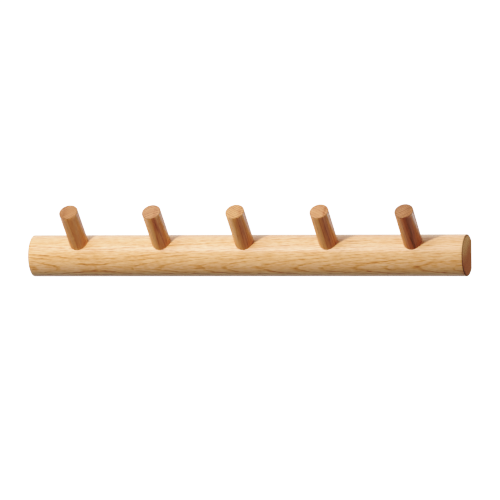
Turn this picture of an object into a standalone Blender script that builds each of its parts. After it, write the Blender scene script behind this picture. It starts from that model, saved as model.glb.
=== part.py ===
"""Wall hook rack: a round oak rail with a flat back, five oak pegs glued into slanting blind bores,
and two steel keyhole plates let into the back, each held by two countersunk wood screws.

Frame, in metres: the origin is the middle of the flat back, which lies against the wall.
+X runs along the rail, -Y points out of the wall into the room, +Z is up.
"""

import math

import bmesh
import bpy
from mathutils import Matrix, Vector

# Rail: a round bar with one side planed flat for the wall.
RAIL_LENGTH = 0.520
RAIL_RADIUS = 0.024
AXIS_TO_WALL = 0.018
RAIL_EASE = 0.0008
RAIL_ARC_STEPS = 72

# Pegs: straight dowels whose axes cross the rail's axis.
PEG_COUNT = 5
PEG_PITCH = 0.100
PEG_RADIUS = 0.011
PEG_RISE = math.radians(45)
PEG_REACH = 0.074
PEG_EASE = 0.0006
PEG_SIDES = 56
BORE_PAST_AXIS = 0.005

# Keyhole plates: rounded steel strips, flush with the flat back.
PLATE_OFFSET = 0.150
PLATE_LENGTH = 0.044
PLATE_HEIGHT = 0.020
PLATE_THICKNESS = 0.002
PLATE_BELOW_FACE = 0.0001
ENTRY_RADIUS = 0.0045
ENTRY_DROP = 0.0025
SLOT_HALF_WIDTH = 0.00225
SLOT_TOP = 0.0045
POCKET_HALF_WIDTH = 0.0055
POCKET_HEIGHT = 0.0175
POCKET_DEPTH = 0.0075

# Plate screws: small countersunk wood screws with a cross recess.
SCREW_SPACING = 0.032
SCREW_LENGTH = 0.012
SCREW_RADIUS = 0.0015
SCREW_HEAD_RADIUS = 0.003
SCREW_POINT = 0.0025
SCREW_LAND = 0.0002
CROSS_WIDTH = 0.0009
CROSS_SPAN = 0.0034
CROSS_DEPTH = 0.0011
SCREW_SIDES = 24

JOINT_GAP = 0.0003
CUTTER_MARGIN = 0.004
EDGE_ANGLE = math.radians(30)

PEG_AXIS = Vector((0, -math.cos(PEG_RISE), math.sin(PEG_RISE)))
RAIL_AXIS_Y = -AXIS_TO_WALL
# Turns a shape drawn upright along +Z so that its +Z end faces the wall, +Y.
TO_WALL = Matrix.Rotation(math.radians(-90), 4, "X")

OAK_RAIL = ("oak_rail", (0.68, 0.44, 0.22), 0.45, 0.0)
OAK_PEG = ("oak_peg", (0.60, 0.36, 0.17), 0.45, 0.0)
PLATE_STEEL = ("zinc_plate", (0.62, 0.63, 0.65), 0.35, 1.0)
SCREW_STEEL = ("zinc_screw", (0.55, 0.55, 0.57), 0.30, 1.0)


def clear_scene():
    for obj in list(bpy.data.objects):
        bpy.data.objects.remove(obj, do_unlink=True)


def material(name, colour, roughness, metallic):
    found = bpy.data.materials.get(name)
    if found:
        return found
    made = bpy.data.materials.new(name)
    made.use_nodes = True
    surface = made.node_tree.nodes["Principled BSDF"]
    surface.inputs["Base Color"].default_value = (*colour, 1)
    surface.inputs["Roughness"].default_value = roughness
    surface.inputs["Metallic"].default_value = metallic
    return made


def object_from(name, shape, finish=None):
    """A new object from a bmesh, smooth on its round sides. With no finish it is a cutter, hidden from renders."""
    mesh = bpy.data.meshes.new(name)
    bmesh.ops.recalc_face_normals(shape, faces=shape.faces)
    shape.to_mesh(mesh)
    shape.free()
    obj = bpy.data.objects.new(name, mesh)
    bpy.context.collection.objects.link(obj)
    if finish:
        mesh.materials.append(material(*finish))
        mesh.shade_smooth()
        mesh.set_sharp_from_angle(angle=EDGE_ANGLE)
    else:
        obj.hide_render = True
        obj.display_type = "WIRE"
    return obj


def ease_edges(obj, width, segments=2):
    bevel = obj.modifiers.new("eased_edges", "BEVEL")
    bevel.width = width
    bevel.segments = segments
    bevel.limit_method = "ANGLE"
    bevel.angle_limit = EDGE_ANGLE


def cut(obj, cutter):
    boolean = obj.modifiers.new("cut_" + cutter.name, "BOOLEAN")
    boolean.operation = "DIFFERENCE"
    boolean.object = cutter


def prism(outline, depth):
    """A straight bar with this outline of (x, y) points, from z = 0 down to z = -depth."""
    shape = bmesh.new()
    corners = [shape.verts.new((x, y, 0)) for x, y in outline]
    face = shape.faces.new(corners)
    swept = bmesh.ops.extrude_face_region(shape, geom=[face])
    moved = [v for v in swept["geom"] if isinstance(v, bmesh.types.BMVert)]
    bmesh.ops.translate(shape, verts=moved, vec=(0, 0, -depth))
    return shape


def turned(profile, sides):
    """A solid of revolution about Z from (radius, height) points, whose first and last points lie on the axis."""
    shape = bmesh.new()
    points = [shape.verts.new((radius, 0, height)) for radius, height in profile]
    edges = [shape.edges.new(pair) for pair in zip(points, points[1:])]
    bmesh.ops.spin(
        shape,
        geom=points + edges,
        cent=(0, 0, 0),
        axis=(0, 0, 1),
        angle=math.tau,
        steps=sides,
        use_merge=True,
    )
    bmesh.ops.remove_doubles(shape, verts=shape.verts, dist=1e-6)
    return shape


def dowel(radius, low, high, sides):
    return turned([(0, high), (radius, high), (radius, low), (0, low)], sides)


def arc(centre, radius, start, end, steps):
    """Points on an arc about (x, y), from one angle to another, both ends included."""
    turns = (start + (end - start) * i / steps for i in range(steps + 1))
    return [(centre[0] + radius * math.cos(a), centre[1] + radius * math.sin(a)) for a in turns]


def stadium(length, height, steps=14):
    """A strip with half-round ends, its length along X."""
    radius = height / 2
    middle = length / 2 - radius
    right = arc((middle, 0), radius, -math.pi / 2, math.pi / 2, steps)
    left = arc((-middle, 0), radius, math.pi / 2, 3 * math.pi / 2, steps)
    return right + left


def keyhole(steps=20):
    """A round entry with a narrower slot rising out of it."""
    meet = math.asin(SLOT_HALF_WIDTH / ENTRY_RADIUS)
    entry = arc(
        (0, -ENTRY_DROP), ENTRY_RADIUS, math.pi / 2 + meet, 2.5 * math.pi - meet, steps
    )
    slot = arc((0, SLOT_TOP), SLOT_HALF_WIDTH, 0, math.pi, steps // 2)
    return entry + slot


def place(obj, x, y, z, turn=None):
    obj.matrix_world = Matrix.Translation((x, y, z)) @ (turn or Matrix.Identity(4))
    return obj


def screw_places():
    """(plate's side, the screw's place on the plate, x) for each of the four plate screws."""
    for side, centre in (("left", -PLATE_OFFSET), ("right", PLATE_OFFSET)):
        outward = math.copysign(1, centre)
        yield side, "outer", centre + outward * SCREW_SPACING / 2
        yield side, "inner", centre - outward * SCREW_SPACING / 2


def peg_places():
    middle = (PEG_COUNT - 1) / 2
    return [(i - middle) * PEG_PITCH for i in range(PEG_COUNT)]


def make_rail():
    """The bar lies along X. Its outline is drawn in (y, z) about the bar's axis, and its flat is at the wall."""
    corner = math.acos(AXIS_TO_WALL / RAIL_RADIUS)
    outline = arc((0, 0), RAIL_RADIUS, corner, math.tau - corner, RAIL_ARC_STEPS)
    shape = prism(outline, RAIL_LENGTH)
    # (x, y) of the outline becomes (y, z), and the sweep direction becomes X.
    lay_down = Matrix(((0, 0, 1, 0), (1, 0, 0, 0), (0, 1, 0, 0), (0, 0, 0, 1)))
    bmesh.ops.transform(shape, matrix=lay_down, verts=shape.verts)
    bmesh.ops.translate(shape, verts=shape.verts, vec=(RAIL_LENGTH / 2, 0, 0))
    rail = place(object_from("rail", shape, OAK_RAIL), 0, RAIL_AXIS_Y, 0)
    ease_edges(rail, RAIL_EASE)
    return rail


def peg_turn():
    return Vector((0, 0, 1)).rotation_difference(PEG_AXIS).to_matrix().to_4x4()


def make_pegs(rail):
    """Each peg's object has its origin on the rail's axis and its Z along the peg."""
    for number, x in enumerate(peg_places(), 1):
        seat = -BORE_PAST_AXIS
        bore_shape = dowel(PEG_RADIUS + JOINT_GAP, seat, PEG_REACH, PEG_SIDES)
        bore = place(object_from(f"bore_{number}", bore_shape), x, RAIL_AXIS_Y, 0, peg_turn())
        cut(rail, bore)
        peg_shape = dowel(PEG_RADIUS, seat + JOINT_GAP, PEG_REACH, PEG_SIDES)
        peg = object_from(f"peg_{number}", peg_shape, OAK_PEG)
        ease_edges(place(peg, x, RAIL_AXIS_Y, 0, peg_turn()), PEG_EASE)


def make_plate_recess(rail, side, x):
    """The shallow bed for the plate, and the deeper pocket in which a wall screw's head slides."""
    bed_depth = PLATE_THICKNESS + PLATE_BELOW_FACE + JOINT_GAP
    bed_outline = stadium(PLATE_LENGTH + 2 * JOINT_GAP, PLATE_HEIGHT + 2 * JOINT_GAP)
    bed = object_from(f"bed_{side}", prism(bed_outline, bed_depth + CUTTER_MARGIN))
    cut(rail, place(bed, x, CUTTER_MARGIN, 0, TO_WALL))
    upright = Matrix.Rotation(math.radians(90), 4, "Z")
    pocket_outline = stadium(POCKET_HEIGHT, 2 * POCKET_HALF_WIDTH)
    pocket = object_from(f"pocket_{side}", prism(pocket_outline, bed_depth + POCKET_DEPTH))
    cut(rail, place(pocket, x, 0, 0, TO_WALL @ upright))


def countersink():
    """The hole that a plate screw passes, with its cone opening at z = 0."""
    hole, rim = SCREW_RADIUS + JOINT_GAP, SCREW_HEAD_RADIUS + JOINT_GAP
    land = SCREW_LAND + JOINT_GAP
    return turned(
        [
            (0, CUTTER_MARGIN),
            (rim, CUTTER_MARGIN),
            (rim, -land),
            (hole, -land - (rim - hole)),
            (hole, -CUTTER_MARGIN),
            (0, -CUTTER_MARGIN),
        ],
        SCREW_SIDES,
    )


def make_plate(rail, side, x):
    make_plate_recess(rail, side, x)
    outline = stadium(PLATE_LENGTH, PLATE_HEIGHT)
    plate = object_from(f"hanger_plate_{side}", prism(outline, PLATE_THICKNESS), PLATE_STEEL)
    place(plate, x, -PLATE_BELOW_FACE, 0, TO_WALL)
    # TO_WALL turns the outline's +Y down, so the keyhole is turned half a turn to bring its slot to the top.
    half_turn = Matrix.Rotation(math.pi, 4, "Z")
    opening = object_from(f"keyhole_{side}", prism(keyhole(), 2 * CUTTER_MARGIN))
    cut(plate, place(opening, x, CUTTER_MARGIN, 0, TO_WALL @ half_turn))
    return plate


def screw_body():
    """The screw stands on its point, and its head's top is at z = 0."""
    cone = SCREW_HEAD_RADIUS - SCREW_RADIUS
    return turned(
        [
            (0, 0),
            (SCREW_HEAD_RADIUS, 0),
            (SCREW_HEAD_RADIUS, -SCREW_LAND),
            (SCREW_RADIUS, -SCREW_LAND - cone),
            (SCREW_RADIUS, -SCREW_LENGTH + SCREW_POINT),
            (0, -SCREW_LENGTH),
        ],
        SCREW_SIDES,
    )


def cross_arm(name, turn):
    half_width, half_span = CROSS_WIDTH / 2, CROSS_SPAN / 2
    outline = [
        (-half_span, -half_width),
        (half_span, -half_width),
        (half_span, half_width),
        (-half_span, half_width),
    ]
    arm = object_from(name, prism(outline, 2 * CROSS_DEPTH))
    return arm, Matrix.Translation((0, 0, CROSS_DEPTH)) @ Matrix.Rotation(turn, 4, "Z")


def make_screw(rail, plate, side, spot, x):
    name = f"{side}_{spot}"
    face_y = -PLATE_BELOW_FACE
    sink = place(object_from(f"countersink_{name}", countersink()), x, face_y, 0, TO_WALL)
    cut(plate, sink)
    pilot_shape = dowel(SCREW_RADIUS + JOINT_GAP, -SCREW_LENGTH - JOINT_GAP, 0, SCREW_SIDES)
    pilot = place(object_from(f"pilot_{name}", pilot_shape), x, face_y, 0, TO_WALL)
    cut(rail, pilot)
    # The head sits a joint gap below the plate's face, so that it lies in its countersink.
    screw = object_from(f"plate_screw_{name}", screw_body(), SCREW_STEEL)
    place(screw, x, face_y - JOINT_GAP, 0, TO_WALL)
    for arm_name, turn in (("slot", 0), ("bar", math.pi / 2)):
        arm, local = cross_arm(f"{arm_name}_{name}", turn)
        arm.matrix_world = Matrix.Translation((x, face_y - JOINT_GAP, 0)) @ TO_WALL @ local
        cut(screw, arm)


def main():
    clear_scene()
    rail = make_rail()
    make_pegs(rail)
    plates = {
        side: make_plate(rail, side, x)
        for side, x in (("left", -PLATE_OFFSET), ("right", PLATE_OFFSET))
    }
    for side, spot, x in screw_places():
        make_screw(rail, plates[side], side, spot, x)


main()
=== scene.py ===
import math

import bmesh
import bpy
from mathutils import Euler, Matrix, Vector


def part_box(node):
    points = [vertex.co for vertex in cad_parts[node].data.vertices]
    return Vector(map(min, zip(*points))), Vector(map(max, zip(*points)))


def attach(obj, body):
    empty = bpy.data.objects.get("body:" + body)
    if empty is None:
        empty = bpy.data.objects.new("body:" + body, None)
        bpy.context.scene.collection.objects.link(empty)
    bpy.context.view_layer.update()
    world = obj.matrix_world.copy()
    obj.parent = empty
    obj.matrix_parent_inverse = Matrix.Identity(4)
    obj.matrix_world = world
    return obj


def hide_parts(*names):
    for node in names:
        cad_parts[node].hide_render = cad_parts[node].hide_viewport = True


# A wall hook rack of oiled oak. Metres: X runs along the rail, +Y goes into the wall, Z is up.

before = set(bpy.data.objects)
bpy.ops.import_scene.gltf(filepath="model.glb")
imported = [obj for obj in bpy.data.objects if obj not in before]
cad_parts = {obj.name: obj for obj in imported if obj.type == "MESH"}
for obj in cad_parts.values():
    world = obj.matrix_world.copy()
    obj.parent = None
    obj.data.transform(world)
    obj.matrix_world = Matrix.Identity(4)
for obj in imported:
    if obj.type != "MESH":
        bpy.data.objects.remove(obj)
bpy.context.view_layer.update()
print("frame loaded:", len(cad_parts), "parts")

quarterTurn = math.pi / 2
layAlongX = Matrix(((0, 0, 1, 0), (1, 0, 0, 0), (0, 1, 0, 0), (0, 0, 0, 1)))  # x, y, z become y, z, x
faceTheWall = Matrix.Rotation(-quarterTurn, 4, "X")  # what points up points at the wall
cutPast = 0.004  # a cutting shape reaches this far past the surfaces that it cuts


class Wire:
    # a socket that can be reckoned with: each operator adds one Math node
    def __init__(self, shader, socket):
        self.shader = shader
        self.socket = socket

    def math(self, operation, *others):
        return self.shader.math(operation, self, *others)

    def __add__(self, other):
        return self.math("ADD", other)

    def __radd__(self, other):
        return self.math("ADD", other)

    def __sub__(self, other):
        return self.math("SUBTRACT", other)

    def __rsub__(self, other):
        return self.shader.math("SUBTRACT", other, self)

    def __mul__(self, other):
        return self.math("MULTIPLY", other)

    def __rmul__(self, other):
        return self.math("MULTIPLY", other)

    def __truediv__(self, other):
        return self.math("DIVIDE", other)


class Shader:
    def __init__(self, owner, end):
        owner.use_nodes = True
        self.owner = owner
        self.tree = owner.node_tree
        self.end = self.tree.nodes[end]

    def node(self, kind, settings=None, inputs=None, out=0):
        made = self.tree.nodes.new("ShaderNode" + kind)
        for name, value in (settings or {}).items():
            if name == "stops":
                self.stops(made.color_ramp, value)
            else:
                setattr(made, name, value)
        for name, value in (inputs or {}).items():
            self.feed(made.inputs[name], value)
        return Wire(self, made.outputs[out])

    def feed(self, socket, value):
        if isinstance(value, Wire):
            self.tree.links.new(value.socket, socket)
        elif socket.type == "RGBA":
            socket.default_value = (*value, 1)
        else:
            socket.default_value = value

    def stops(self, ramp, stops):
        while len(ramp.elements) < len(stops):
            ramp.elements.new(1)
        for element, (place, colour) in zip(ramp.elements, stops):
            element.position = place
            element.color = (*colour, 1)

    def finish(self, values):
        for name, value in values.items():
            self.feed(self.end.inputs[name], value)
        return self.owner

    def math(self, operation, *values):
        return self.node("Math", {"operation": operation}, dict(enumerate(values)))

    def vector(self, operation, *values, out=0):
        return self.node("VectorMath", {"operation": operation}, dict(enumerate(values)), out)

    def split(self, vector):
        return [self.node("SeparateXYZ", None, {0: vector}, axis) for axis in range(3)]

    def smooth(self, value, low, high):
        # 0 below low and 1 above high, with a soft step between them
        ends = {"Value": value, "From Min": low, "From Max": high}
        return self.node("MapRange", {"interpolation_type": "SMOOTHSTEP"}, ends)

    def noise(self, point, per, detail=2.0, shift=0.0, out=0):
        # per holds how many lumps fit in a metre, along each axis
        moved = self.vector("MULTIPLY_ADD", point, per, (shift, shift * 1.7, shift * 0.6))
        return self.node("TexNoise", None, {"Vector": moved, "Scale": 1.0, "Detail": detail}, out)

    def stray(self, point, per, size, shift):
        # carries a point sideways, across the grain, by up to about half of size
        lumps = self.vector("SUBTRACT", self.noise(point, per, 2, shift, out=1), (0.5, 0.5, 0.5))
        return self.vector("MULTIPLY_ADD", lumps, (0, size, size), point)

    def blend(self, factor, first, second, how="MIX"):
        # a Mix node's colours go in at 6 and 7 and come out at 2
        settings = {"data_type": "RGBA", "blend_type": how}
        return self.node("Mix", settings, {0: factor, 6: first, 7: second}, 2)


def newShader(name):
    return Shader(bpy.data.materials.new(name), "Principled BSDF")


def weighted(amounts, parts):
    # the named parts added up, each taken so many times
    return sum(amount * parts[name] for name, amount in amounts.items())


def newObject(name, shape):
    bmesh.ops.recalc_face_normals(shape, faces=shape.faces)
    mesh = bpy.data.meshes.new(name)
    shape.to_mesh(mesh)
    shape.free()
    obj = bpy.data.objects.new(name, mesh)
    bpy.context.scene.collection.objects.link(obj)
    return obj


def cutAway(obj, shapes):
    # takes each closed shape out of the object, then bakes the cuts into its mesh
    tools = [newObject("cutter", shape) for shape in shapes]
    for tool in tools:
        cut = obj.modifiers.new("cut", "BOOLEAN")
        cut.operation = "DIFFERENCE"
        cut.object = tool
    graph = bpy.context.evaluated_depsgraph_get()
    solid = bpy.data.meshes.new_from_object(obj.evaluated_get(graph))
    obj.modifiers.clear()
    obj.data = solid
    for tool in tools:
        bpy.data.objects.remove(tool)


def sharpEdges(shape, angle=math.radians(35)):
    return [e for e in shape.edges if len(e.link_faces) == 2 and e.calc_face_angle() > angle]


def roundOver(shape, edges, width, segments):
    bmesh.ops.bevel(
        shape,
        geom=edges,
        offset=width,
        segments=segments,
        profile=0.5,
        material=-1,
        affect="EDGES",
        clamp_overlap=True,
    )


def dowel(radius, low, high, sides):
    # a closed round bar along Z
    shape = bmesh.new()
    bmesh.ops.create_circle(shape, cap_ends=True, segments=sides, radius=radius)
    extrudeUp(shape, low, high)
    return shape


def extrudeUp(shape, low, high):
    bmesh.ops.translate(shape, verts=shape.verts, vec=(0, 0, low))
    swept = bmesh.ops.extrude_face_region(shape, geom=shape.faces[:])
    moved = [v for v in swept["geom"] if isinstance(v, bmesh.types.BMVert)]
    bmesh.ops.translate(shape, verts=moved, vec=(0, 0, high - low))


def slab(length, width, low, high, ends):
    # a bar along X with half-round ends, between two heights
    shape = bmesh.new()
    bmesh.ops.create_grid(shape, x_segments=1, y_segments=1, size=0.5)
    bmesh.ops.scale(shape, verts=shape.verts, vec=(length, width, 1))
    bmesh.ops.bevel(
        shape,
        geom=shape.verts[:],
        offset=width / 2 * 0.999,  # a hair less than half, so a short straight is left between the arcs
        segments=ends,
        profile=0.5,
        material=-1,
        affect="VERTICES",
    )
    extrudeUp(shape, low, high)
    return shape


def placed(shape, matrix):
    bmesh.ops.transform(shape, matrix=matrix, verts=shape.verts)
    return shape


def fitOut(obj, material, slot, *nodes):
    # smooth shading except over sharp edges, finish, and its place in the frame
    obj.data.materials.clear()
    obj.data.materials.append(material)
    obj.data.shade_smooth()
    obj.data.set_sharp_from_angle(angle=math.radians(32))
    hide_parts(*nodes)
    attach(obj, "root")


# Each kind of figure: lumps per metre along, across and up the grain, and how far the seed is moved on.
# Where two numbers follow, the lumps make a mask that starts at the first and is full at the second.
oakFigure = {
    "sway": ((12, 28, 28), 0),
    "ripple": ((90, 180, 180), 3),
    "breaks": ((75, 520, 520), 5, 0.34, 0.62),
    "vessels": ((170, 1300, 1300), 7, 0.57, 0.66),
    "dashes": ((130, 900, 900), 9),
    "streaks": ((30, 600, 600), 11),
    "bands": ((5, 60, 60), 13),
    "fibre": ((300, 2600, 2600), 17),
    "flecks": ((110, 1500, 260), 19, 0.64, 0.74),
}
oakYears = {
    "pace": (150, 1.3),  # changes of growth per metre, and how many rings they are worth
    "early": (0.90, 1.0, 0.02, 0.28),  # where in a year the open wood starts, is full, wanes and ends
    "unbroken": 0.4,  # how much of its tone the open wood keeps between the vessels
    "closed": 0.35,  # how much of the vessels shows outside the open wood
    "heartStreaks": 1.4,  # how streaky the heartwood is
}
oakSurface = {
    "rough": {"early": 0.08, "fibre": 0.14, "pores": 0.10, "cutEnd": 0.35},
    "height": {"streaks": 0.35, "fibre": 0.12, "pores": -0.9, "dashes": -0.5, "early": -0.2},
    "reliefDepth": 0.0002,
    "index": 1.48,
    "coatRough": 0.30,
    "fleckShare": 0.16,
    "cutFrom": (1.1, 0.5),  # where a cut end starts and is full, in widths of its rounding
    "rimFrom": (2.4, 1.2),  # where the painted dark shade round its rim starts and is full, inward from the side
    # the colour of the painted dark shade round a cut end's rim
    "rimShadeColour": (0.16, 0.14, 0.14),
    "backFrom": (-1.0, 0.2),  # where the painted shade at the back of the end starts and is full, in radii
    "backLean": 0.6,  # how much further back that is at the top
}


# Oak is one solid pattern in three dimensions, so end grain and side grain agree at every edge.
# "middle" and "turn" lay the pattern's X along the grain of the piece.
def oak(name, wood):
    s = newShader(name)
    laid = {"Vector": s.node("TexCoord", out=3), "Location": wood["middle"], "Rotation": wood["turn"]}
    local = s.node("Mapping", {"vector_type": "TEXTURE"}, laid)
    along, across, up = s.split(local)
    seed = wood["seed"]
    toEnd = wood["half"] - (along - wood["centre"]).math("ABSOLUTE")
    cutEnd = s.smooth(toEnd, *(wood["ease"] * widths for widths in oakSurface["cutFrom"]))

    def figured(kind, detail=2):
        per, shift, *ends = oakFigure[kind]
        lumps = s.noise(local, per, detail, seed + shift)
        return s.smooth(lumps, *ends) if ends else lumps - 0.5

    # growth rings are shells round a pith outside the piece, which leans away on both sides of one spot
    spot, reach, lean = wood["bend"]
    fromSpot = along - spot
    pith = (fromSpot * fromSpot + reach * reach).math("SQRT") * lean + wood["pith"]
    side = math.radians(wood["side"])
    core = s.node("CombineXYZ", None, {1: pith * math.cos(side), 2: pith * math.sin(side)})
    strayed = local
    for kind in ("sway", "ripple"):
        per, shift = oakFigure[kind]
        strayed = s.stray(strayed, per, wood[kind], seed + shift)
    fromCore = s.vector("MULTIPLY", s.vector("SUBTRACT", strayed, core), (0, 1, 1))
    depth = s.vector("LENGTH", fromCore, out=1)
    changes, worth = oakYears["pace"]
    spread = s.node("TexNoise", {"noise_dimensions": "1D"}, {"W": depth * changes + seed, "Scale": 1.0})
    ring = depth / wood["ring"] + spread * worth
    phase = ring.math("FRACT")
    yearTone = s.node("TexWhiteNoise", {"noise_dimensions": "1D"}, {"W": ring.math("FLOOR") + seed})
    starts, full, wanes, ends = oakYears["early"]
    early = 1 - s.smooth(phase, wanes, ends) + s.smooth(phase, starts, full)

    # the open early wood of each year breaks up into rows of vessels
    unbroken, closed = oakYears["unbroken"], oakYears["closed"]
    rings = wood["rings"] * early * (unbroken + (1 - unbroken) * figured("breaks"))
    if "under" in wood:  # stronger, darker rings along the underside: grain, and painted shade of the underside
        below, fade, extra = wood["under"]
        rings = rings * (1 + extra * s.smooth(up, below + fade, below))
    if "endRings" in wood:
        rings = rings * (1 + wood["endRings"] * cutEnd)

    parts = {kind: figured(kind) for kind in ("dashes", "streaks", "bands", "fibre")}
    parts["years"] = yearTone - 0.5
    parts["early"] = early
    parts["pores"] = figured("vessels") * (closed + (1 - closed) * early)
    parts["cutEnd"] = cutEnd
    dark = wood["dark"] + rings + weighted(wood["tones"], parts)
    if "heart" in wood:  # a streaky darker sheet of heartwood, as deep as the piece
        place, width, darkness = wood["heart"]
        fromHeart = (s.split(strayed)[2] - place).math("ABSOLUTE")
        heart = 1 - s.smooth(fromHeart, 0, width)
        dark = dark + darkness * heart * (1 + oakYears["heartStreaks"] * parts["streaks"])
    colour = s.node("ValToRGB", {"stops": wood["colours"]}, {0: dark})

    # medullary rays: pale flecks that run out from the pith
    colour = s.blend(figured("flecks", 1) * oakSurface["fleckShare"], colour, wood["ray"])

    # cut ends are darker end grain, and their tones also carry painted light and shade: on the rail a painted
    # greyish sheen at the top and front of the end, painted shade most of all at the back, and painted dark
    # shade round the rim
    endToneWithPaintedShade = wood["end"]
    # painted shade: on the rail the cut end darkens towards its back and bottom
    if "endBackShade" in wood:
        leaning = oakSurface["backLean"] * across - up
        back = s.smooth(leaning, *(wood["radius"] * radii for radii in oakSurface["backFrom"]))
        endToneWithPaintedShade = s.blend(back, endToneWithPaintedShade, wood["endBackShade"])
    # painted dark shade round the rim of each cut end
    fromMiddle = s.vector("LENGTH", s.vector("MULTIPLY", local, (0, 1, 1)), out=1)
    rimFrom = (wood["radius"] - widths * wood["ease"] for widths in oakSurface["rimFrom"])
    rim = s.smooth(fromMiddle, *rimFrom)
    endToneWithPaintedShade = s.blend(rim * wood["endRimShade"], endToneWithPaintedShade, oakSurface["rimShadeColour"])
    colour = s.blend(cutEnd, colour, s.blend(1.0, colour, endToneWithPaintedShade, "MULTIPLY"))

    height = weighted(oakSurface["height"], parts)
    relief = {"Strength": wood["relief"], "Distance": oakSurface["reliefDepth"], "Height": height}
    sockets = {
        "Base Color": colour,
        "Roughness": wood["rough"] + weighted(oakSurface["rough"], parts),
        "Normal": s.node("Bump", None, relief),
        "IOR": oakSurface["index"],
        "Coat Weight": wood["coat"] * (1 - cutEnd) if wood["dryEnds"] else wood["coat"],
        "Coat Roughness": oakSurface["coatRough"],
    }
    return s.finish(sockets)


railLow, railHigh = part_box("rail")
railLength = railHigh.x - railLow.x
railRadius = (railHigh.z - railLow.z) / 2
railAxis = Vector((0, railLow.y + railRadius, 0))

railLook = {
    "sides": 240,
    "ease": 0.0010,  # how far the sharp edges are rounded over
    "easeSteps": 5,
    "slices": 61,  # along the rail, so that no face is very long
    "boreGap": 0.00004,
    "wood": {
        "middle": railAxis,
        "turn": (0, 0, 0),
        "centre": 0.0,
        "half": railLength / 2,
        "radius": railRadius,
        "side": 214,  # the pith lies in front and below: degrees from the wall's side, by way of the top
        "pith": 0.078,
        "bend": (-0.180, 0.020, -0.070),  # where the pith is furthest, how round the bend is, its slope
        "ring": 0.0026,
        "sway": 0.0028,
        "ripple": 0.0012,
        "under": (-0.021, 0.006, 1.2),  # the height below which the rings are stronger (grain, and painted shade of the underside), its fade, how much
        "seed": 4.0,
        "dark": 0.24,
        "rings": 0.37,
        "tones": {
            "years": 0.06,
            "dashes": 1.20,
            "streaks": 0.62,
            "bands": 0.22,
            "pores": 0.12,
            "fibre": 0.14,
        },
        "colours": [
            (0.0, (0.93, 0.57, 0.32)),
            (0.35, (0.80, 0.43, 0.205)),
            (0.62, (0.66, 0.295, 0.115)),
            (1.0, (0.35, 0.13, 0.04)),
        ],
        "ray": (0.84, 0.52, 0.31),
        # the end's tone: at its top and front nearly the sides' colour with a grey lean, a painted light
        # sheen; at its back and bottom painted shade
        "end": (0.94, 0.96, 1.0),
        "endBackShade": (0.48, 0.35, 0.24),
        "endRimShade": 0.6,
        "dryEnds": True,  # without the sheen of the sides
        "rough": 0.45,
        "relief": 0.32,
        "coat": 0.80,
    },
}


def makeRail(look, bores):
    toFlat = railHigh.y - railAxis.y
    shape = bmesh.new()
    bmesh.ops.create_circle(shape, cap_ends=True, segments=look["sides"], radius=railRadius)
    bmesh.ops.bisect_plane(
        shape,
        geom=shape.verts[:] + shape.edges[:] + shape.faces[:],
        plane_co=(toFlat, 0, 0),
        plane_no=(1, 0, 0),
        clear_outer=True,
    )
    corners = [v for v in shape.verts if v.co.x > toFlat - 1e-6]
    crowded = [v for v in shape.verts if any(0 < (v.co - c.co).length < 2 * look["ease"] for c in corners)]
    bmesh.ops.dissolve_verts(shape, verts=crowded)  # leaves the flat's corners room to be rounded
    extrudeUp(shape, -railLength / 2, railLength / 2)
    roundOver(shape, sharpEdges(shape), look["ease"], look["easeSteps"])
    lengthwise = [e for e in shape.edges if e.calc_length() > railLength / 2]
    bmesh.ops.subdivide_edges(shape, edges=lengthwise, cuts=look["slices"] - 1, use_grid_fill=True)
    rail = newObject("oak_rail", placed(shape, Matrix.Translation(railAxis) @ layAlongX))
    cutAway(rail, bores)
    return rail


pegNames = sorted(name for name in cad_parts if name.startswith("peg_"))

pegLook = {
    "sides": 120,
    "ease": 0.0006,
    "easeSteps": 4,
    "slices": 16,
    "rise": math.radians(45),
    "seeds": (20.0, 7),  # from which number, and the step from peg to peg
    "wood": {
        "bend": (0, 0.05, 0.02),
        "sway": 0.0022,
        "ripple": 0.0006,
        "rings": 0.30,
        "tones": {
            "years": 0.16,
            "dashes": 0.24,
            "streaks": 0.36,
            "bands": 0.24,
            "pores": 0.12,
            "fibre": 0.14,
        },
        "colours": [
            (0.0, (0.84, 0.44, 0.20)),
            (0.35, (0.70, 0.315, 0.13)),
            (0.62, (0.54, 0.21, 0.085)),
            (1.0, (0.24, 0.075, 0.03)),
        ],
        "ray": (0.80, 0.45, 0.23),
        # painted dark shade round the rim of each tip
        "endRimShade": 0.25,
        "dryEnds": False,
        "rough": 0.34,
        "relief": 0.28,
        "coat": 0.50,
    },
    # each peg is its own stick: pith direction in degrees and distance, ring width, darkness, tone of the cut
    # end (darker end grain, whose grey-blue lean is a painted whitish sheen) and how strongly the rings show
    # there, heartwood (place across, half width, darkness)
    "sticks": [
        {
            "side": 40,
            "pith": 0.045,
            "ring": 0.0021,
            "dark": 0.31,
            "rings": 0.12,
            "end": (0.62, 0.63, 0.65),
            "endRings": 8.0,
            "heart": (0.0060, 0.0070, 0.24),
        },
        {
            "side": 205,
            "pith": 0.060,
            "ring": 0.0026,
            "dark": 0.27,
            "end": (0.65, 0.67, 0.77),
            "endRings": 1.6,
            "heart": (-0.0046, 0.0038, 0.14),
        },
        {
            "side": 330,
            "pith": 0.038,
            "ring": 0.0023,
            "dark": 0.21,
            "end": (0.79, 0.83, 0.87),
            "endRings": 1.4,
            "heart": (-0.0064, 0.0036, 0.20),
        },
        {
            "side": 150,
            "pith": 0.070,
            "ring": 0.0030,
            "dark": 0.26,
            "end": (0.75, 0.77, 0.86),
            "endRings": 0.1,
            "heart": (-0.0066, 0.0032, 0.30),
        },
        {
            "side": 36,
            "pith": 0.052,
            "ring": 0.0021,
            "dark": 0.58,
            "rings": 0.16,
            "end": (0.76, 0.87, 1.0),
            "endRings": 9.0,
            "heart": (-0.0050, 0.0050, 0.14),
        },
    ],
}
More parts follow.
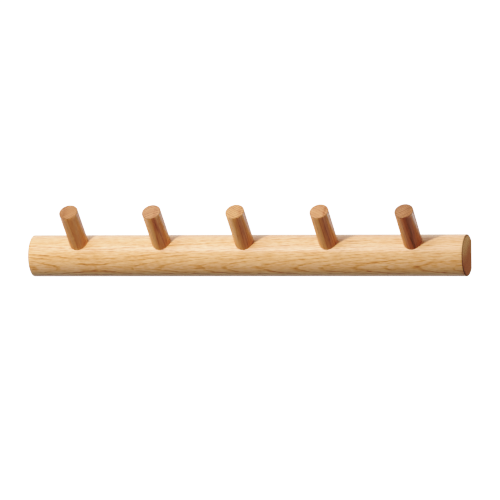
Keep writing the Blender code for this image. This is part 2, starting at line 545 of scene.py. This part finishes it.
pegAxis = Vector((0, -math.cos(pegLook["rise"]), math.sin(pegLook["rise"])))


def pegPlace(node):
    # where a peg's own frame stands: on the rail's axis, its Z along the peg
    low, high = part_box(node)
    radius = (high.x - low.x) / 2
    corner = (math.sqrt(2) - 1) * pegLook["ease"]  # what rounding takes off the box at 45 degrees
    reach = (railAxis.y - low.y + corner) * math.sqrt(2) - radius
    seat = radius - (high.y - railAxis.y + corner) * math.sqrt(2)
    spot = Matrix.Translation(((low.x + high.x) / 2, railAxis.y, 0))
    turn = Vector((0, 0, 1)).rotation_difference(pegAxis).to_matrix().to_4x4()
    return spot @ turn, radius, seat, reach


def makePeg(number, node):
    place, radius, seat, reach = pegPlace(node)
    shape = dowel(radius, seat, reach, pegLook["sides"])
    roundOver(shape, sharpEdges(shape), pegLook["ease"], pegLook["easeSteps"])
    lengthwise = [e for e in shape.edges if e.calc_length() > reach / 2]
    bmesh.ops.subdivide_edges(shape, edges=lengthwise, cuts=pegLook["slices"] - 1, use_grid_fill=True)
    peg = newObject(f"oak_peg_{number}", placed(shape, place))
    firstSeed, seedStep = pegLook["seeds"]
    grainAlongPeg = place.to_3x3() @ Euler((0, -quarterTurn, 0)).to_matrix()  # pattern X on the peg's Z
    wood = dict(
        pegLook["wood"],
        middle=place.translation,
        turn=grainAlongPeg.to_euler(),
        centre=(seat + reach) / 2,
        half=(reach - seat) / 2,
        radius=radius,
        ease=pegLook["ease"],
        seed=firstSeed + seedStep * number,
        **pegLook["sticks"][number - 1],
    )
    fitOut(peg, oak(f"oak_peg_{number}", wood), "peg_oak", node)


def pegBore(node):
    place, radius, seat, reach = pegPlace(node)
    gap = railLook["boreGap"]
    return placed(dowel(radius + gap, seat - gap, reach, pegLook["sides"]), place)


plateLook = {
    "ends": 24,  # facets of each round end
    "ease": 0.00025,
    "easeSteps": 3,
    "clearance": 0.0001,  # between the plate and its bed
    "entry": (0.0045, -0.0025),  # radius, height of its middle
    "entrySides": 64,
    "slot": (0.00225, 0.0045),  # half width, height of its upper middle
    "slotEnds": 16,
    "pocket": (0.0055, 0.0175, 0.0099),  # half width, height, depth from the wall
    "pocketEnds": 20,
    "pocketStart": 0.0005,  # how far it starts above the floor of the bed, so that nothing is left between
    "sinkDepth": 0.0002,
    "steel": {"colour": (0.40, 0.41, 0.43), "warm": (0.45, 0.435, 0.40), "rough": 0.36, "relief": 0.00004},
}
screwLook = {
    "sides": 48,
    "length": 0.012,
    "head": 0.003,
    "rim": (0.00015, 0.00008),  # width and drop of the chamfer round the head
    "shank": 0.0015,
    "core": 0.00105,
    "shoulder": 0.0008,  # over which the shank narrows to the core
    "taper": 0.92,  # of the core, where the point starts
    "point": (0.0026, 0.00012),  # its length, and its radius at the very tip
    "sinkGap": 0.0001,  # between the head and its countersink
    "pilotGap": 0.00005,
    "pilotDeeper": 0.0002,
    "pilotTop": -0.0015,
    "pilotSides": 32,
    "crossSpan": 0.0034,
    "crossFoot": 0.30,  # from the middle to a corner of the tapering cutter, at its foot and top, in spans
    "crossTop": 0.82,
    "crossWidth": 0.0009,
    "crossDepth": 0.0011,
    "steel": {"colour": (0.32, 0.325, 0.34), "warm": (0.40, 0.38, 0.32), "rough": 0.30, "relief": 0.00002},
}
zincLook = {
    "rolled": ((90, 6000, 6000), 3, 2),  # lumps per metre, how fine their detail is, and a shift
    "cloudy": ((260, 260, 260), 3, 5),
    "scuffs": ((900, 140, 2600), 2, 9),
    "warmFrom": (0.38, 0.66),  # where in the clouds the warm tone starts and is full
    "scuffFrom": (0.60, 0.72),
    "spangle": (420, 0.14),  # crystals per metre, and how much they show
    "scuffColour": (0.62, 0.63, 0.64),
    "scuffShare": 0.4,
    "rough": {"rolled": 0.22, "cloudy": 0.25, "scuffs": -0.08},
    "height": {"rolled": 1.0, "cloudy": 0.6, "scuffs": -1.0},
    "relief": 0.25,
}


def zinc(name, steel):
    s = newShader(name)
    at = s.node("TexCoord", out=3)
    rolled, clouds, scratched = (s.noise(at, *zincLook[kind]) for kind in ("rolled", "cloudy", "scuffs"))
    scuffs = s.smooth(scratched, *zincLook["scuffFrom"])
    parts = {"rolled": rolled - 0.5, "cloudy": clouds - 0.5, "scuffs": scuffs}
    perMetre, share = zincLook["spangle"]
    crystals = s.node("TexVoronoi", {"feature": "F1"}, {"Vector": at, "Scale": perMetre}, 1)
    tint = s.blend(s.smooth(clouds, *zincLook["warmFrom"]), steel["colour"], steel["warm"])
    tint = s.blend(share, tint, s.split(crystals)[0], "OVERLAY")  # one channel, which is grey
    tint = s.blend(scuffs * zincLook["scuffShare"], tint, zincLook["scuffColour"])
    height = weighted(zincLook["height"], parts)
    relief = {"Strength": zincLook["relief"], "Distance": steel["relief"], "Height": height}
    sockets = {
        "Base Color": tint,
        "Metallic": 1.0,
        "Roughness": steel["rough"] + weighted(zincLook["rough"], parts),
        "Normal": s.node("Bump", None, relief),
    }
    return s.finish(sockets)


def wallSpot(node):
    # on the wall behind a node, with Z pointing into the wall
    low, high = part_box(node)
    return Matrix.Translation(((low.x + high.x) / 2, high.y, 0)) @ faceTheWall


def keyhole(low, high):
    # the round entry is below and the slot rises from it; drawn with Y down, as it faces the wall
    entryRadius, entryHeight = plateLook["entry"]
    slotHalf, slotHeight = plateLook["slot"]
    entry = dowel(entryRadius, low, high, plateLook["entrySides"])
    rise = slotHeight - entryHeight
    slot = slab(rise + 2 * slotHalf, 2 * slotHalf, low, high, plateLook["slotEnds"])
    middle = Matrix.Translation((0, -(slotHeight + entryHeight) / 2, 0))
    return (
        placed(entry, Matrix.Translation((0, -entryHeight, 0))),
        placed(slot, middle @ Matrix.Rotation(quarterTurn, 4, "Z")),
    )


def makePlate(side):
    node = f"hanger_plate_{side}"
    low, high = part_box(node)
    spot = wallSpot(node)
    thick = high.y - low.y
    shape = slab(high.x - low.x, high.z - low.z, -thick, 0, plateLook["ends"])
    plate = newObject(f"keyhole_plate_{side}", placed(shape, spot))
    cuts = [placed(hole, spot) for hole in keyhole(-2 * thick, thick)]
    cuts += [screwSink(name) for name in screwsOf(side)]
    cutAway(plate, cuts)
    shape = bmesh.new()
    shape.from_mesh(plate.data)
    roundOver(shape, sharpEdges(shape, math.radians(60)), plateLook["ease"], plateLook["easeSteps"])
    shape.to_mesh(plate.data)
    shape.free()
    fitOut(plate, plateSteel, "plate_steel", node)


def plateBeds(side):
    node = f"hanger_plate_{side}"
    low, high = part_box(node)
    spot = wallSpot(node)
    gap = plateLook["clearance"]
    thick = high.y - low.y
    length, width = high.x - low.x + 2 * gap, high.z - low.z + 2 * gap
    bed = slab(length, width, -thick - gap, cutPast, plateLook["ends"])
    half, height, depth = plateLook["pocket"]
    pocket = slab(height, 2 * half, -depth, plateLook["pocketStart"] - thick, plateLook["pocketEnds"])
    return placed(bed, spot), placed(pocket, spot @ Matrix.Rotation(quarterTurn, 4, "Z"))


def screwsOf(side):
    return [f"plate_screw_{side}_{spot}" for spot in ("outer", "inner")]


def turned(profile, sides):
    # a closed turned solid about Z, from (radius, height) points that start and end on the axis
    shape = bmesh.new()
    points = [shape.verts.new((radius, 0, height)) for radius, height in profile]
    edges = [shape.edges.new(pair) for pair in zip(points, points[1:])]
    bmesh.ops.spin(
        shape,
        geom=points + edges,
        cent=(0, 0, 0),
        axis=(0, 0, 1),
        angle=math.tau,
        steps=sides,
        use_merge=True,
    )
    bmesh.ops.remove_doubles(shape, verts=shape.verts, dist=1e-6)
    return shape


def screwSink(node):
    # the countersink in the plate
    rim = screwLook["head"] + screwLook["sinkGap"]
    hole = screwLook["shank"] + screwLook["sinkGap"]
    land = plateLook["sinkDepth"]
    profile = [
        (0, cutPast),
        (rim, cutPast),
        (rim, -land),
        (hole, -land - (rim - hole)),
        (hole, -cutPast),
        (0, -cutPast),
    ]
    return placed(turned(profile, screwLook["sides"]), wallSpot(node))


def screwPilot(node):
    look = screwLook
    depth = look["length"] + look["pilotDeeper"]
    hole = dowel(look["shank"] + look["pilotGap"], -depth, look["pilotTop"], look["pilotSides"])
    return placed(hole, wallSpot(node))


def makeScrew(node):
    look = screwLook
    spot = wallSpot(node)
    land = plateLook["sinkDepth"]
    rimWidth, rimDrop = look["rim"]
    pointLength, tipRadius = look["point"]
    neck = -land - (look["head"] - look["shank"])
    profile = [
        (0, 0),
        (look["head"] - rimWidth, 0),
        (look["head"], -rimDrop),
        (look["head"], -land),
        (look["shank"], neck),
        (look["core"], neck - look["shoulder"]),
        (look["core"] * look["taper"], -look["length"] + pointLength),
        (tipRadius, -look["length"]),
        (0, -look["length"]),
    ]
    screw = newObject(node.replace("plate_screw", "zinc_screw"), placed(turned(profile, look["sides"]), spot))
    cuts = []
    for turn in (0, quarterTurn):
        arm = bmesh.new()
        bmesh.ops.create_cone(
            arm,
            cap_ends=True,
            segments=4,
            radius1=look["crossSpan"] * look["crossFoot"],
            radius2=look["crossSpan"] * look["crossTop"],
            depth=2 * look["crossDepth"],
            matrix=Matrix.Rotation(math.radians(45), 4, "Z"),
        )
        bmesh.ops.scale(arm, verts=arm.verts, vec=(1, look["crossWidth"] / look["crossSpan"], 1))
        cuts.append(placed(arm, spot @ Matrix.Rotation(turn, 4, "Z")))
    cutAway(screw, cuts)
    fitOut(screw, screwSteel, "screw_steel", node)


plateSides = ("left", "right")
screwNodes = [node for side in plateSides for node in screwsOf(side)]
plateSteel = zinc("zinc_plate", plateLook["steel"])
screwSteel = zinc("zinc_screw", screwLook["steel"])

hollows = [pegBore(node) for node in pegNames]
hollows += [hollow for side in plateSides for hollow in plateBeds(side)]
hollows += [screwPilot(node) for node in screwNodes]
railOak = oak("oak_rail", dict(railLook["wood"], ease=railLook["ease"]))
fitOut(makeRail(railLook, hollows), railOak, "rail_oak", "rail")
print("rail made")

for number, node in enumerate(pegNames, 1):
    makePeg(number, node)
print("pegs made:", len(pegNames))

for side in plateSides:
    makePlate(side)
for node in screwNodes:
    makeScrew(node)
print("plates and screws made")


studio = {
    "floor": {
        "depth": 1.25,
        "radius": 9.0,
        "sides": 96,
        "colour": (0.80, 0.80, 0.79),
        "mottle": (0.78, 0.78, 0.77),
        "mottleShare": 0.08,
        "lumps": (3, 3, 3),
        "rough": 0.7,
        "fade": (0.35, 0.95),  # where it starts to fade and is gone, in radii, so that no edge shows
    },
    "lamps": {  # place, width, power, and whether it gives plain light and a shine
        "key": ((-0.37, -1.21, 0.58), 0.08, 19.0, True, False),
        "soft": ((-0.54, -1.15, 1.27), 0.90, 8.5, True, True),
        "glint": ((-0.40, -1.15, 0.75), 0.30, 4.0, False, True),
        "under": ((0.00, 0.90, -0.90), 0.90, 5.0, True, False),
        "edge": ((1.00, 0.85, -0.28), 0.50, 1.8, False, True),
    },
    # how bright the room is, against and along X, Y and Z: the light it gives, and what reflections see
    "room": ((0.70, 0.55), (0.02, 0.70), (0.08, 0.52)),
    "reflected": ((2.2, 2.6), (0.05, 0.85), (0.30, 1.9)),
    "backdrop": 2.6,  # the white that the camera sees round the rack
}


def makeFloor(look):
    shape = bmesh.new()
    bmesh.ops.create_circle(shape, cap_ends=True, segments=look["sides"], radius=look["radius"])
    floor = newObject("floor", placed(shape, Matrix.Translation((0, 0, -look["depth"]))))
    s = newShader("pale_floor")
    at = s.node("TexCoord", out=3)
    away = s.vector("LENGTH", at, out=1)
    colour = s.blend(s.noise(at, look["lumps"], 3) * look["mottleShare"], look["colour"], look["mottle"])
    fade = 1 - s.smooth(away, *(look["radius"] * radii for radii in look["fade"]))
    floor.data.materials.append(s.finish({"Base Color": colour, "Roughness": look["rough"], "Alpha": fade}))
    floor.visible_diffuse = False  # it throws no light back up
    floor.visible_glossy = False


def makeRoom():
    # a white room, bright on the sides and above; where the camera looks past the rack it is plain white
    world = bpy.data.worlds.new("white_room")
    bpy.context.scene.world = world
    s = Shader(world, "Background")
    byCamera, byGloss = s.node("LightPath", out=0), s.node("LightPath", out=3)
    glow = 0.0
    for part, matte, glossy in zip(s.split(s.node("TexCoord")), studio["room"], studio["reflected"]):
        ahead = s.smooth(part, -0.01, 0.01)  # which of the two sides, with hardly any step between
        behind, front = (low + byGloss * (high - low) for low, high in zip(matte, glossy))
        share = part * part  # the three shares add up to 1 in every direction
        glow = glow + share * (behind + (front - behind) * ahead)
    s.finish({"Color": byCamera * studio["backdrop"] + (1 - byCamera) * glow})


def makeLamp(name, spot, size, power, plain, shine):
    lamp = bpy.data.lights.new(name, "AREA")
    lamp.shape = "DISK"
    lamp.size = size
    lamp.energy = power
    obj = bpy.data.objects.new(name, lamp)
    bpy.context.scene.collection.objects.link(obj)
    obj.location = spot
    obj.rotation_euler = (railAxis - obj.location).to_track_quat("-Z", "Y").to_euler()
    obj.visible_camera = False
    obj.visible_diffuse = plain
    obj.visible_glossy = shine


cameraLook = {
    "target": Vector((0.0016, -0.018, 0.0064)),
    "distance": 6.993,
    "azimuth": 17.2,
    "elevation": 2.137,
    "roll": -0.756,
    "lens": 439.0,
    "sensor": 36.0,
    "clip": (0.1, 60.0),
}


def makeCamera(look):
    azimuth, elevation, roll = (math.radians(look[name]) for name in ("azimuth", "elevation", "roll"))
    turn = Euler((quarterTurn - elevation, 0, azimuth)).to_matrix() @ Matrix.Rotation(roll, 3, "Z")
    lens = bpy.data.cameras.new("camera")
    lens.lens = look["lens"]
    lens.sensor_width = look["sensor"]
    lens.clip_start, lens.clip_end = look["clip"]
    camera = bpy.data.objects.new("camera", lens)
    bpy.context.scene.collection.objects.link(camera)
    camera.location = look["target"] + turn @ Vector((0, 0, look["distance"]))
    camera.rotation_euler = turn.to_euler()
    bpy.context.scene.camera = camera


# scene light in, picture light out: a firm contrast that rolls off softly towards white
toneCurve = [
    (0.0, 0.0),
    (0.06, 0.019),
    (0.15, 0.082),
    (0.235, 0.184),
    (0.36, 0.303),
    (0.5, 0.435),
    (0.7, 0.579),
    (0.95, 0.729),
    (1.3, 0.872),
    (2.4, 1.0),
]


def setTone(points):
    view = bpy.context.scene.view_settings
    view.view_transform = "Standard"
    view.use_curve_mapping = True
    mapping = view.curve_mapping
    brightest = points[-1][0]
    mapping.white_level = (brightest,) * 3  # a curve runs from 0 to 1, so it is given in parts of this
    curve = mapping.curves[3]
    for light, shown in points[1:-1]:
        curve.points.new(light / brightest, shown)
    mapping.update()


makeFloor(studio["floor"])
makeRoom()
for name, lamp in studio["lamps"].items():
    makeLamp(name, *lamp)
makeCamera(cameraLook)
setTone(toneCurve)
print("floor, light and camera made")
